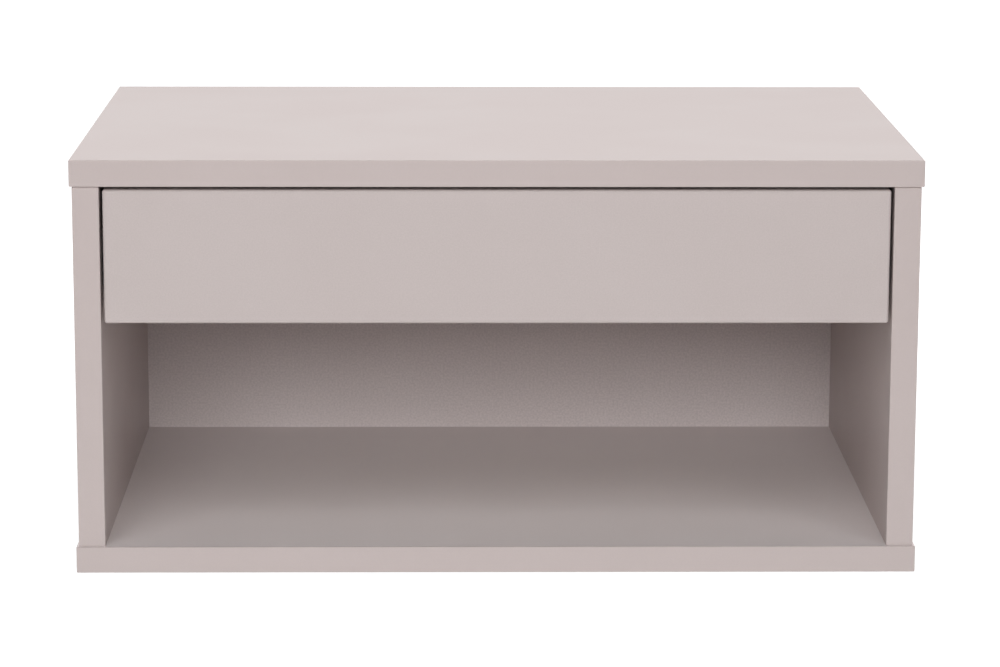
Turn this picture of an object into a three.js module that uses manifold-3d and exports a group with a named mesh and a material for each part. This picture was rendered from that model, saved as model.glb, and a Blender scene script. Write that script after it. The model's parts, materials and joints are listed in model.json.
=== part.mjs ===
// Floating nightstand, in millimetres, +Z up.
// A wall-hung box of lacquered board with one handle-less drawer over an open shelf.
// The drawer is inset between the sides and runs on a pair of full-extension ball-bearing runners.
// The cabinet hangs on two keyhole plates that lie flush in the back panel.
// +Y points into the wall and the drawer opens towards -Y. The origin is on the wall plane, midway
// between the two hangers, at the height of the wall screws that they hang on.

import * as THREE from 'three';
import { mergeVertices } from 'three/addons/utils/BufferGeometryUtils.js';
import { RoundedBoxGeometry } from 'three/addons/geometries/RoundedBoxGeometry.js';
import Module from 'manifold-3d';

// Cabinet
const cabinetWidth = 600;
const cabinetDepth = 400;
const cabinetHeight = 298;
const boardThickness = 19;
const backThickness = 16;
const panelOverhang = 1.75; // top and bottom stand proud of the sides, outwards and forwards
const arrisRadius = 1.5; // softened edges of the lacquered boards

// Clearances
const seatGap = 0.3; // between faces that rest on each other
const boreGap = 0.2; // all round a fastener in its hole
const grooveGap = 0.2; // on each side of a board in its groove
const cutOverrun = 1; // how far a cut runs past the face that it opens
const weldDistance = 1e-4; // points closer than this are one point

// Drawer front
const frontSideGap = 2.25;
const frontTopGap = 2.4;
const frontHeight = 95.3;
const frontThickness = 19;
const frontCornerRadius = 2;
const fingerBevelHeight = 14; // bevel along the rear of the lower edge, where the fingers pull
const fingerBevelDepth = 9;

// Drawer box
const boxBoard = 12;
const boxRearClearance = 7.95; // from the rear end of the box to the back panel
const boxTopDrop = 9.3; // from the upper edge of the front to the upper edge of the box
const boxLift = 18; // from the lower edge of the front to the lower edge of the box
const boxTopRadius = 1.5;
const boxBottomThickness = 6;
const boxBottomRise = 8;
const grooveDepth = 5;
const tongueLength = 6;
const tongueThickness = 6;

// Runners, each with a cabinet, a middle and a drawer member
const runnerHeight = 45.7;
const runnerThickness = 12.7;
const runnerSteel = 1;
const runnerRise = 23; // centre line above the lower edge of the drawer box
const runnerSetback = 2; // behind the rear face of the drawer front
const runnerRearInset = 3.3; // from the rear end of the drawer box
const runningGap = 0.3; // between a ball cage and the webs on each side of it
const ballRadius = 2;
const raceGap = 0.15; // between a ball and its race
const rowStagger = 2.4; // the inner row of balls lies this much nearer to the drawer
const cabinetBendRadius = 1.5;
const middleBendRadius = 1;
const cageSteel = 0.4;
const cageEndPlay = 7.5; // from a cage to the ends of its members when the drawer is fully out
const cageEndMargin = 6;
const cageBendRadius = 1;
const cageArmReach = 0.6; // how far a cage arm runs past its balls
const ballsPerRow = 8;
const stopTabThickness = 1.2;
const stopTabHeight = 12;
const stopTabClearance = 1.5; // from the tip of the tab to the drawer box
const stopGap = 0.5; // from the closed members to the tab
const shoulderAngle = THREE.MathUtils.degToRad(140);
const cabinetLipAngle = THREE.MathUtils.degToRad(30);
const middleBendAngle = THREE.MathUtils.degToRad(60);
const middleLipAngle = THREE.MathUtils.degToRad(40);
const drawerRaceAngle = THREE.MathUtils.degToRad(-50);
const drawerLipAngle = THREE.MathUtils.degToRad(-135);
const runnerScrewInset = 35; // from each end of a member
const windowLength = 30; // windows in the middle member
const windowHeight = 12;
const windowSpacing = 105;
const slotLength = 9; // adjustment slots in the cabinet and drawer members
const slotHeight = 4.5;
const slotInset = 62; // from each end of a member

// Runner screws, countersunk
const runnerScrewRadius = 1.75;
const runnerScrewHeadRadius = 3.4;
const runnerScrewHeadHeight = 1.7;
const runnerScrewLength = 11;

// Screws that hold the drawer front to the drawer box, with washer heads
const frontScrewRadius = 2;
const frontScrewHeadRadius = 4.5;
const frontScrewHeadHeight = 2.2;
const frontScrewLength = 25;
const frontScrewInset = 73.95; // from the inner faces of the box sides
const frontScrewRise = 26; // of the lower screws above the lower edge of the box
const frontScrewDrop = 16; // of the upper screws below the upper edge of the box

// Screws, all
const screwTipLength = 2.5;
const crossWidth = 0.8;
const crossSpan = 3.4;
const crossDepth = 1.1;

// Keyhole hanger plates
const hangDrop = 58; // of the wall screws below the upper face of the cabinet
const hangerInset = 70; // of the wall screws from the ends of the cabinet
const hangerWidth = 34;
const hangerHeight = 64;
const hangerThickness = 2;
const hangerCornerRadius = 5;
const keyholeEntryRadius = 6.5;
const keyholeSlotRadius = 3.25;
const keyholeTravel = 16; // from the centre of the entry up to where the wall screw rests
const keyholePocketDepth = 9;
const keyholePocketMargin = 1; // the pocket behind the plate is this much wider than the entry
const hangerScrewSpacing = 50;
const hangerScrewRadius = 1.75;
const hangerScrewHeadRadius = 3.4;
const hangerScrewHeadHeight = 1.7;
const hangerScrewLength = 12;

// Cam fittings that draw the top panel down on the sides
const camRadius = 7.5;
const camDepth = 14;
const camDrop = 24; // from the top end of the side to the axis of the cam
const camPocketGap = 0.6; // round the head of the bolt
const camSlotWidth = 1.6;
const camSlotSpan = 8;
const camSlotDepth = 2.5;
const camSweep = THREE.MathUtils.degToRad(120); // turn from inserted to locked
const boltThreadRadius = 2.5;
const boltThreadLength = 11;
const boltCollarRadius = 3.7;
const boltCollarLength = 1.6;
const boltNeckRadius = 2.1;
const boltHeadRadius = 3.4;
const boltHoleRadius = 4;

// One-piece connector screws that hold the bottom panel to the sides
const connectorHeadRadius = 4.8;
const connectorHeadRim = 0.8;
const connectorHeadHeight = 3.2;
const connectorCollarRadius = 3.5;
const connectorCollarEnd = 15;
const connectorThreadRadius = 2.9;
const connectorLength = 50;
const connectorTipLength = 5;
const connectorSocketRadius = 2.3;
const connectorSocketDepth = 3.5;

// Beech dowels
const dowelRadius = 4;
const dowelLength = 30;
const dowelChamfer = 1;
const dowelInPanel = 12; // the part of a dowel in the face of the board that it stands in
const dowelHoleSpare = 1; // glue space at each end
const fittingInset = 50; // of the front and rear fittings from the ends of a side
const backDowelInset = 60; // of the dowels of the back panel from its top and bottom

// Facets
const roundSides = 20;
const smallSides = 10;
const ballSides = 8;
const ballRings = 6;
const socketSides = 6;
const boltHeadSteps = 4;
const arcSteps = 3;
const raceSteps = 5;
const softEdgeSteps = 2;

// Places that follow from the sizes above
const hangHeight = cabinetHeight - hangDrop;
const halfWidth = cabinetWidth / 2;
const hangerPlace = halfWidth - hangerInset;
const innerHalfWidth = halfWidth - panelOverhang - boardThickness;
const sideCentre = innerHalfWidth + boardThickness / 2;
const bodyFront = panelOverhang - cabinetDepth; // front edges of the sides, and the drawer front
const frontRear = bodyFront + frontThickness;
const innerTop = cabinetHeight - boardThickness;
const frontTop = innerTop - frontTopGap;
const frontBottom = frontTop - frontHeight;
const boxBase = frontBottom + boxLift;
const boxHeight = frontHeight - boxLift - boxTopDrop;
const boxFrontEnd = frontRear + seatGap;
const boxLength = -backThickness - boxRearClearance - boxFrontEnd;
const boxHalfWidth = innerHalfWidth - runnerThickness - 2 * seatGap;
const boxInnerHalfWidth = boxHalfWidth - boxBoard;
const frontScrewPlace = boxInnerHalfWidth - frontScrewInset;
const runnerCentre = boxBase + runnerRise;
const runnerLength = boxLength + seatGap - runnerSetback - runnerRearInset;
const runnerTravel = runnerLength;

const xAxis = new THREE.Vector3(1, 0, 0);
const yAxis = new THREE.Vector3(0, 1, 0);
const zAxis = new THREE.Vector3(0, 0, 1);
const sides = [
  { name: 'left', sign: -1 },
  { name: 'right', sign: 1 },
];

// Finishes

function finish(color, roughness, metalness) {
  return new THREE.MeshStandardMaterial({ color, roughness, metalness });
}

const lacquer = finish(0xc9bebb, 0.42, 0);
const frontLacquer = finish(0xc4b9b6, 0.5, 0);
const boxFoil = finish(0xd6cfc8, 0.6, 0);
const beech = finish(0xcfae7c, 0.75, 0);
const zincSteel = finish(0xb9bcc0, 0.35, 1);
const brightSteel = finish(0xcfd2d6, 0.25, 1);
const castZinc = finish(0x9fa2a6, 0.5, 1);

// Solid geometry

const wasm = await Module();
wasm.setup();

function toSolid(geometry) {
  const bare = geometry.clone();
  bare.deleteAttribute('normal');
  bare.deleteAttribute('uv');
  const welded = mergeVertices(bare, weldDistance);
  const mesh = new wasm.Mesh({
    numProp: 3,
    vertProperties: welded.getAttribute('position').array,
    triVerts: new Uint32Array(welded.getIndex().array),
  });
  return new wasm.Manifold(mesh);
}

function toGeometry(solid) {
  const mesh = solid.getMesh();
  const geometry = new THREE.BufferGeometry();
  geometry.setAttribute('position', new THREE.BufferAttribute(mesh.vertProperties, 3));
  geometry.setIndex(new THREE.BufferAttribute(mesh.triVerts, 1));
  geometry.computeVertexNormals();
  return geometry;
}

function combine(geometries, method) {
  const [first, ...others] = geometries.map(toSolid);
  return toGeometry(others.reduce((solid, other) => solid[method](other), first));
}

const fuse = (...geometries) => combine(geometries, 'add');
const cut = (...geometries) => combine(geometries, 'subtract');
const common = (...geometries) => combine(geometries, 'intersect');

const block = (width, depth, height) => new THREE.BoxGeometry(width, depth, height);

function extrude(shape, depth, curveSegments = arcSteps) {
  return new THREE.ExtrudeGeometry(shape, { depth, bevelEnabled: false, curveSegments });
}

// A section drawn in Y and Z, extruded along X and centred on it.
function extrudeAcross(section, length) {
  return extrude(section, length).rotateX(Math.PI / 2).rotateZ(Math.PI / 2).translate(-length / 2, 0, 0);
}

// A profile of [radius, height] pairs turned about Z.
function revolve(profile, count) {
  const points = profile.map(([radius, height]) => new THREE.Vector2(radius, height));
  return new THREE.LatheGeometry(points, count).rotateX(Math.PI / 2);
}

function rod(radius, length, count) {
  return revolve([[0, 0], [radius, 0], [radius, length], [0, length]], count);
}

// A rectangle from low to high with a radius at each corner, counter-clockwise from the lower left.
function roundedRectangle(low, high, radii) {
  const shape = new THREE.Shape();
  const corners = [
    { x: low.x, y: low.y, inX: 1, inY: 1, start: Math.PI },
    { x: high.x, y: low.y, inX: -1, inY: 1, start: -Math.PI / 2 },
    { x: high.x, y: high.y, inX: -1, inY: -1, start: 0 },
    { x: low.x, y: high.y, inX: 1, inY: -1, start: Math.PI / 2 },
  ];
  corners.forEach((corner, index) => {
    const radius = radii[index];
    if (radius === 0) {
      const step = index === 0 ? 'moveTo' : 'lineTo';
      shape[step](corner.x, corner.y);
      return;
    }
    const centreX = corner.x + corner.inX * radius;
    const centreY = corner.y + corner.inY * radius;
    shape.absarc(centreX, centreY, radius, corner.start, corner.start + Math.PI / 2, false);
  });
  shape.closePath();
  return shape;
}

// A slot with round ends along X, centred on the origin.
function obround(length, width) {
  const shape = new THREE.Shape();
  const reach = (length - width) / 2;
  shape.absarc(reach, 0, width / 2, -Math.PI / 2, Math.PI / 2, false);
  shape.absarc(-reach, 0, width / 2, Math.PI / 2, 3 * Math.PI / 2, false);
  shape.closePath();
  return shape;
}

// Placing pieces, and drilling each board for the fasteners that pass through it

const nightstand = new THREE.Group();
nightstand.position.z = -hangHeight;
const drillings = new Map();

function addPiece(parent, name, geometry, material) {
  const mesh = new THREE.Mesh(geometry, material);
  mesh.name = name;
  parent.add(mesh);
  return mesh;
}

// Turns an object so that its Z runs along direction and its Y along up.
function aim(object, direction, up) {
  const across = new THREE.Vector3().crossVectors(up, direction);
  object.setRotationFromMatrix(new THREE.Matrix4().makeBasis(across, up, direction));
  return object;
}

function drill(board, hole, place) {
  place.updateWorldMatrix(true, false);
  const cutter = hole.clone().applyMatrix4(place.matrixWorld);
  drillings.set(board, [...(drillings.get(board) ?? []), cutter]);
}

// Puts a fastener in place and marks its hole on the boards that it joins.
function fasten(parent, name, fastener, position, direction, up, boards) {
  const mesh = addPiece(parent, name, fastener.geometry, fastener.material);
  mesh.position.copy(position);
  aim(mesh, direction, up);
  boards.forEach((board) => drill(board, fastener.hole, mesh));
  return mesh;
}

function drillBoards() {
  for (const [board, cutters] of drillings) {
    board.updateWorldMatrix(true, false);
    const toBoard = board.matrixWorld.clone().invert();
    board.geometry = cut(board.geometry, ...cutters.map((cutter) => cutter.applyMatrix4(toBoard)));
  }
}

// Fasteners. Each lies along +Z from the face of its head, and its hole is its own shape and a clearance.

function crossRecess(span, width, depth) {
  const bar = block(span, width, 2 * depth);
  const otherBar = block(width, span, 2 * depth);
  return fuse(bar, otherBar);
}

function countersunkScrew(radius, headRadius, headHeight, length) {
  const profile = [
    [0, 0],
    [headRadius, 0],
    [radius, headHeight],
    [radius, length - screwTipLength],
    [0, length],
  ];
  const holeProfile = [
    [0, -cutOverrun],
    [headRadius + boreGap, -cutOverrun],
    [headRadius + boreGap, 0],
    [radius + boreGap, headHeight],
    [radius + boreGap, length + boreGap],
    [0, length + boreGap],
  ];
  return {
    geometry: cut(revolve(profile, smallSides), crossRecess(crossSpan, crossWidth, crossDepth)),
    hole: revolve(holeProfile, smallSides),
    material: brightSteel,
  };
}

function washerHeadScrew() {
  const headTop = -seatGap - frontScrewHeadHeight;
  const profile = [
    [0, headTop],
    [frontScrewHeadRadius / 2, headTop],
    [frontScrewHeadRadius, -seatGap - frontScrewHeadHeight / 3],
    [frontScrewHeadRadius, -seatGap],
    [frontScrewRadius, -seatGap],
    [frontScrewRadius, frontScrewLength - screwTipLength],
    [0, frontScrewLength],
  ];
  const recess = crossRecess(crossSpan, crossWidth, crossDepth).translate(0, 0, headTop);
  const hole = rod(frontScrewRadius + boreGap, frontScrewLength + boreGap + cutOverrun, smallSides);
  return {
    geometry: cut(revolve(profile, smallSides), recess),
    hole: hole.translate(0, 0, -cutOverrun),
    material: brightSteel,
  };
}

function connectorScrew() {
  const profile = [
    [0, 0],
    [connectorHeadRadius, 0],
    [connectorHeadRadius, connectorHeadRim],
    [connectorCollarRadius, connectorHeadHeight],
    [connectorCollarRadius, connectorCollarEnd],
    [connectorThreadRadius, connectorCollarEnd],
    [connectorThreadRadius, connectorLength - connectorTipLength],
    [0, connectorLength],
  ];
  const holeProfile = [
    [0, -cutOverrun],
    [connectorHeadRadius + boreGap, -cutOverrun],
    [connectorHeadRadius + boreGap, connectorHeadRim],
    [connectorCollarRadius + boreGap, connectorHeadHeight],
    [connectorCollarRadius + boreGap, connectorCollarEnd + boreGap],
    [connectorThreadRadius + boreGap, connectorCollarEnd + boreGap],
    [connectorThreadRadius + boreGap, connectorLength + boreGap],
    [0, connectorLength + boreGap],
  ];
  const socket = rod(connectorSocketRadius, connectorSocketDepth + cutOverrun, socketSides);
  return {
    geometry: cut(revolve(profile, roundSides), socket.translate(0, 0, -cutOverrun)),
    hole: revolve(holeProfile, roundSides),
    material: zincSteel,
  };
}

// A dowel stands on its joint plane, with its shorter part below it.
function dowel() {
  const low = -dowelInPanel;
  const high = dowelLength - dowelInPanel;
  const profile = [
    [0, low],
    [dowelRadius - dowelChamfer, low],
    [dowelRadius, low + dowelChamfer],
    [dowelRadius, high - dowelChamfer],
    [dowelRadius - dowelChamfer, high],
    [0, high],
  ];
  const hole = rod(dowelRadius + boreGap, dowelLength + 2 * dowelHoleSpare, smallSides);
  return {
    geometry: revolve(profile, smallSides),
    hole: hole.translate(0, 0, low - dowelHoleSpare),
    material: beech,
  };
}

// The bolt of a cam fitting: thread below the joint plane, collar, neck and round head above it.
function camBolt() {
  const headCentre = camDrop + seatGap;
  const profile = [
    [0, -boltThreadLength],
    [boltNeckRadius, -boltThreadLength],
    [boltThreadRadius, -boltThreadLength + boltThreadRadius - boltNeckRadius],
    [boltThreadRadius, seatGap],
    [boltCollarRadius, seatGap],
    [boltCollarRadius, seatGap + boltCollarLength],
    [boltNeckRadius, seatGap + boltCollarLength],
  ];
  const neckEnd = Math.asin(boltNeckRadius / boltHeadRadius);
  for (let step = 0; step <= boltHeadSteps; step += 1) {
    const angle = (Math.PI - neckEnd) * (1 - step / boltHeadSteps);
    profile.push([boltHeadRadius * Math.sin(angle), headCentre + boltHeadRadius * Math.cos(angle)]);
  }
  profile[profile.length - 1][0] = 0;
  const threadHole = rod(boltThreadRadius + boreGap, boltThreadLength + seatGap + boreGap, smallSides)
    .translate(0, 0, -boltThreadLength - boreGap);
  const neckHole = rod(boltHoleRadius, headCentre, smallSides);
  return {
    geometry: revolve(profile, smallSides),
    hole: fuse(threadHole, neckHole),
    material: zincSteel,
  };
}

// The cam lies along +Z from its slotted face, with the bolt coming in along +Y to its axis.
// Its head pocket, the bore that the head enters by and the slot that the neck turns through are cut out.
function cam() {
  const body = rod(camRadius, camDepth, roundSides);
  const boltDepth = boardThickness / 2;
  const headPocket = new THREE.SphereGeometry(boltHeadRadius + camPocketGap, smallSides, smallSides);
  headPocket.translate(0, 0, boltDepth);
  const entry = rod(boltHeadRadius + camPocketGap, camRadius + cutOverrun, smallSides);
  entry.rotateX(-Math.PI / 2).rotateZ(camSweep).translate(0, 0, boltDepth);
  const slotHalfWidth = boltNeckRadius + boreGap;
  const sweep = new THREE.Shape();
  const reach = camRadius + cutOverrun;
  sweep.moveTo(0, 0);
  sweep.absarc(0, 0, reach, Math.PI / 2, Math.PI / 2 + camSweep, false);
  sweep.closePath();
  const neckSlot = extrude(sweep, 2 * slotHalfWidth).translate(0, 0, boltDepth - slotHalfWidth);
  const neckBore = rod(slotHalfWidth, reach, smallSides).rotateX(-Math.PI / 2).translate(0, 0, boltDepth);
  const cross = crossRecess(camSlotSpan, camSlotWidth, camSlotDepth);
  return {
    geometry: cut(body, headPocket, entry, neckSlot, neckBore, cross),
    hole: rod(camRadius + boreGap, camDepth + cutOverrun + boreGap, roundSides)
      .translate(0, 0, -cutOverrun),
    material: castZinc,
  };
}

// Cabinet boards

const carcass = new THREE.Group();
nightstand.add(carcass);

function addPanel(name, height) {
  const size = [cabinetWidth, cabinetDepth, boardThickness];
  const panel = addPiece(carcass, name, new RoundedBoxGeometry(...size, softEdgeSteps, arrisRadius), lacquer);
  panel.position.set(0, -cabinetDepth / 2, height);
  return panel;
}

// A side stands on its lower end, with both of its front edges softened.
function addSidePanel({ name, sign }) {
  const low = new THREE.Vector2(-boardThickness / 2, bodyFront);
  const high = new THREE.Vector2(boardThickness / 2, 0);
  const outline = roundedRectangle(low, high, [arrisRadius, arrisRadius, 0, 0]);
  const height = innerTop - boardThickness - 2 * seatGap;
  const panel = addPiece(carcass, `side_panel_${name}`, extrude(outline, height), lacquer);
  panel.position.set(sign * sideCentre, 0, boardThickness + seatGap);
  return panel;
}

function addBackPanel() {
  const height = innerTop - boardThickness - 2 * seatGap;
  const width = 2 * (innerHalfWidth - seatGap);
  const panel = addPiece(carcass, 'back_panel', block(width, backThickness, height), lacquer);
  panel.position.set(0, -backThickness / 2, (innerTop + boardThickness) / 2);
  return panel;
}

const topPanel = addPanel('top_panel', cabinetHeight - boardThickness / 2);
const bottomPanel = addPanel('bottom_panel', boardThickness / 2);
const backPanel = addBackPanel();
const sidePanels = sides.map(addSidePanel);

// Cabinet joints: cams and a dowel under the top, connector screws and a dowel at the bottom,
// and two dowels on each side of the back

const camFitting = cam();
const boltFitting = camBolt();
const connector = connectorScrew();
const beechDowel = dowel();
const down = zAxis.clone().negate();
const forward = yAxis.clone().negate();

function addCarcassJoints({ name, sign }, sidePanel) {
  const outward = xAxis.clone().multiplyScalar(sign);
  const stations = [
    { place: 'front', y: bodyFront + fittingInset },
    { place: 'rear', y: -fittingInset },
  ];
  for (const { place, y } of stations) {
    const camPlace = new THREE.Vector3(sign * innerHalfWidth, y, innerTop - seatGap - camDrop);
    const boltPlace = new THREE.Vector3(sign * sideCentre, y, innerTop);
    const connectorPlace = new THREE.Vector3(sign * sideCentre, y, 0);
    fasten(carcass, `cam_${name}_${place}`, camFitting, camPlace, outward, zAxis, [sidePanel]);
    fasten(carcass, `cam_bolt_${name}_${place}`, boltFitting, boltPlace, down, yAxis, [topPanel, sidePanel]);
    const screwName = `connector_screw_${name}_${place}`;
    fasten(carcass, screwName, connector, connectorPlace, zAxis, yAxis, [bottomPanel, sidePanel]);
  }
  const middle = bodyFront / 2;
  const topPlace = new THREE.Vector3(sign * sideCentre, middle, innerTop);
  const bottomPlace = new THREE.Vector3(sign * sideCentre, middle, boardThickness);
  fasten(carcass, `dowel_top_${name}`, beechDowel, topPlace, down, yAxis, [topPanel, sidePanel]);
  fasten(carcass, `dowel_bottom_${name}`, beechDowel, bottomPlace, zAxis, yAxis, [bottomPanel, sidePanel]);
  const heights = [
    { place: 'lower', z: boardThickness + backDowelInset },
    { place: 'upper', z: innerTop - backDowelInset },
  ];
  const inward = outward.clone().negate();
  for (const { place, z } of heights) {
    const dowelPlace = new THREE.Vector3(sign * innerHalfWidth, -backThickness / 2, z);
    const dowelName = `dowel_back_${name}_${place}`;
    fasten(carcass, dowelName, beechDowel, dowelPlace, inward, zAxis, [backPanel, sidePanel]);
  }
}

sides.forEach((side, index) => addCarcassJoints(side, sidePanels[index]));

// Hangers: a keyhole plate on each side, in a recess in the rear face of the back panel

// The keyhole lies in X and Y, with the resting wall screw at the origin and the entry below it.
function keyhole(entryRadius, slotRadius, depth) {
  const entry = rod(entryRadius, depth, roundSides).translate(0, -keyholeTravel, 0);
  const slot = extrude(obround(keyholeTravel + 2 * slotRadius, 2 * slotRadius), depth);
  slot.rotateZ(Math.PI / 2).translate(0, -keyholeTravel / 2, 0);
  return fuse(entry, slot);
}

function plateOutline(gap) {
  const half = new THREE.Vector2(hangerWidth / 2 + gap, hangerHeight / 2 + gap);
  const radius = hangerCornerRadius + gap;
  return roundedRectangle(half.clone().negate(), half, [radius, radius, radius, radius]);
}

// In a plate's own frame its Z points out of the rear face and its Y up.
function addHanger({ name, sign }) {
  const centreDrop = keyholeTravel / 2;
  const opening = keyhole(keyholeEntryRadius, keyholeSlotRadius, hangerThickness + 2 * cutOverrun);
  opening.translate(0, centreDrop, -cutOverrun);
  const pressing = cut(extrude(plateOutline(0), hangerThickness), opening);
  const plate = addPiece(carcass, `hanger_plate_${name}`, pressing, zincSteel);
  plate.position.set(sign * hangerPlace, -hangerThickness, hangHeight - centreDrop);
  aim(plate, yAxis, zAxis);
  const recess = extrude(plateOutline(boreGap), hangerThickness + seatGap + cutOverrun);
  recess.translate(0, 0, -seatGap);
  const pocketRadius = keyholeEntryRadius + keyholePocketMargin;
  const pocket = keyhole(pocketRadius, pocketRadius, keyholePocketDepth);
  pocket.translate(0, centreDrop, hangerThickness - keyholePocketDepth);
  drill(backPanel, fuse(recess, pocket), plate);
  const screws = [
    { place: 'upper', rise: hangerScrewSpacing / 2 },
    { place: 'lower', rise: -hangerScrewSpacing / 2 },
  ];
  const screw = countersunkScrew(
    hangerScrewRadius,
    hangerScrewHeadRadius,
    hangerScrewHeadHeight,
    hangerScrewLength,
  );
  for (const { place, rise } of screws) {
    const position = new THREE.Vector3(plate.position.x, 0, plate.position.z + rise);
    fasten(carcass, `hanger_screw_${name}_${place}`, screw, position, forward, zAxis, [plate, backPanel]);
  }
}

sides.forEach(addHanger);

// Drawer: the front, and a box of grooved boards behind it

const drawer = new THREE.Group();
nightstand.add(drawer);

// The section in Y and Z with the finger bevel, cut to the plan outline with its rounded front corners.
function addDrawerFront() {
  const frontHalfWidth = innerHalfWidth - frontSideGap;
  const section = new THREE.Shape();
  const radius = frontCornerRadius;
  section.absarc(radius, radius, radius, Math.PI, 3 * Math.PI / 2, false);
  section.lineTo(frontThickness - fingerBevelDepth, 0);
  section.lineTo(frontThickness, fingerBevelHeight);
  section.lineTo(frontThickness, frontHeight);
  section.absarc(radius, frontHeight - radius, radius, Math.PI / 2, Math.PI, false);
  section.closePath();
  const lengthwise = extrudeAcross(section, 2 * frontHalfWidth);
  const low = new THREE.Vector2(-frontHalfWidth, 0);
  const high = new THREE.Vector2(frontHalfWidth, frontThickness);
  const upright = extrude(roundedRectangle(low, high, [radius, radius, 0, 0]), frontHeight);
  const front = addPiece(drawer, 'drawer_front', common(lengthwise, upright), frontLacquer);
  front.position.set(0, bodyFront, frontBottom);
  return front;
}

// The groove that a box board has for the bottom, as a bar along X that opens the face at y = 0.
function bottomGroove(length) {
  const groove = block(length, 2 * grooveDepth, boxBottomThickness + 2 * grooveGap);
  return groove.translate(0, 0, boxBottomRise + boxBottomThickness / 2);
}

// A box board along X, standing on z = 0 with its inner face on y = 0 and its softened edge on top.
function boxBoardGeometry(length) {
  const low = new THREE.Vector2(-boxBoard, 0);
  const high = new THREE.Vector2(0, boxHeight);
  const section = roundedRectangle(low, high, [0, 0, boxTopRadius, boxTopRadius]);
  return extrudeAcross(section, length);
}

// A side of the box, with a dado near each end for the tongues of the front and back boards.
function addBoxSide({ name, sign }) {
  const dadoCentre = boxLength / 2 - boxBoard / 2;
  const dadoWidth = tongueThickness + 2 * grooveGap;
  const dadoDepth = tongueLength + grooveGap;
  const dado = block(dadoWidth, 2 * dadoDepth, boxHeight + 2 * cutOverrun).translate(0, 0, boxHeight / 2);
  const dados = [-1, 1].map((end) => dado.clone().translate(end * dadoCentre, 0, 0));
  const groove = bottomGroove(boxLength + 2 * cutOverrun);
  const board = cut(boxBoardGeometry(boxLength), groove, ...dados);
  const piece = addPiece(drawer, `drawer_box_${name}`, board, boxFoil);
  piece.position.set(sign * boxInnerHalfWidth, boxFrontEnd + boxLength / 2, boxBase);
  piece.rotation.z = sign * Math.PI / 2;
  return piece;
}

// The front and back boards stand between the sides, with a tongue at each end.
function addBoxEnd(name, centre, turn) {
  const length = 2 * (boxInnerHalfWidth - seatGap);
  const tongue = block(2 * tongueLength + 2 * seatGap, tongueThickness, boxHeight - boxTopRadius);
  tongue.translate(0, -boxBoard / 2, (boxHeight - boxTopRadius) / 2);
  const tongues = [-1, 1].map((end) => tongue.clone().translate(end * length / 2, 0, 0));
  const groove = bottomGroove(length + 2 * (tongueLength + cutOverrun + seatGap));
  const board = cut(fuse(boxBoardGeometry(length), ...tongues), groove);
  const piece = addPiece(drawer, name, board, boxFoil);
  piece.position.set(0, centre, boxBase);
  piece.rotation.z = turn;
  return piece;
}

function addBoxBottom(frontFace, backFace) {
  const reach = grooveDepth - grooveGap;
  const width = 2 * (boxInnerHalfWidth + reach);
  const length = backFace - frontFace + 2 * reach;
  const piece = addPiece(drawer, 'drawer_box_bottom', block(width, length, boxBottomThickness), boxFoil);
  piece.position.set(0, (frontFace + backFace) / 2, boxBase + boxBottomRise + boxBottomThickness / 2);
}

const drawerFront = addDrawerFront();
const boxSides = sides.map(addBoxSide);
const boxFrontFace = boxFrontEnd + boxBoard;
const boxBackFace = boxFrontEnd + boxLength - boxBoard;
const boxFront = addBoxEnd('drawer_box_front', boxFrontFace, 0);
addBoxEnd('drawer_box_back', boxBackFace, Math.PI);
addBoxBottom(boxFrontFace, boxBackFace);

const frontScrew = washerHeadScrew();
for (const { name, sign } of sides) {
  const heights = [
    { place: 'lower', z: boxBase + frontScrewRise },
    { place: 'upper', z: boxBase + boxHeight - frontScrewDrop },
  ];
  for (const { place, z } of heights) {
    const position = new THREE.Vector3(sign * frontScrewPlace, boxFrontFace, z);
    const boards = [boxFront, drawerFront];
    fasten(drawer, `front_screw_${name}_${place}`, frontScrew, position, forward, zAxis, boards);
  }
}

// Runners. A section lies in X and Y: X runs from the cabinet side towards the drawer and Y up.
// The races are arcs about the balls, and each member is one strip of steel bent through its arcs.

const raceRadius = ballRadius + raceGap + runnerSteel / 2;
const cabinetWeb = runnerSteel / 2;
const cageWeb = runnerSteel + runningGap + cageSteel / 2;
const middleWeb = cageWeb + cageSteel / 2 + runningGap + runnerSteel / 2;
const innerCageWeb = middleWeb + runnerSteel / 2 + runningGap + cageSteel / 2;
const drawerWeb = runnerThickness - runnerSteel / 2;
const outerRow = {
  x: middleWeb + middleBendRadius + (middleBendRadius + raceRadius) * Math.cos(middleBendAngle),
  y: runnerHeight / 2 - runnerSteel / 2 - raceRadius,
};
const rowDrop = Math.sqrt((2 * raceRadius) ** 2 - rowStagger ** 2);
const innerRow = { x: outerRow.x + rowStagger, y: outerRow.y - rowDrop };
const memberLength = runnerLength - stopTabThickness - stopGap;
const cageLength = runnerLength - runnerTravel / 2 - 2 * cageEndPlay;

const arc = (centre, radius, from, to) => ({ centre, radius, from, to });

// The strip of the given thickness whose centre line runs through the arcs, and through their mirror
// image below the runner's centre line. The arcs run from the web to the lip.
function strip(arcs, thickness) {
  const mirrored = arcs.map(({ centre, radius, from, to }) => (
    arc({ x: centre.x, y: -centre.y }, radius, -to, -from)));
  const path = [...mirrored.reverse(), ...arcs];
  const shape = new THREE.Shape();
  const follow = ({ centre, radius, from, to }, side) => {
    const turn = Math.sign(to - from);
    const offset = radius - side * turn * thickness / 2;
    const [start, end] = side > 0 ? [from, to] : [to, from];
    shape.absarc(centre.x, centre.y, offset, start, end, end < start);
  };
  path.forEach((bend) => follow(bend, 1));
  [...path].reverse().forEach((bend) => follow(bend, -1));
  shape.closePath();
  return shape;
}

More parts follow.
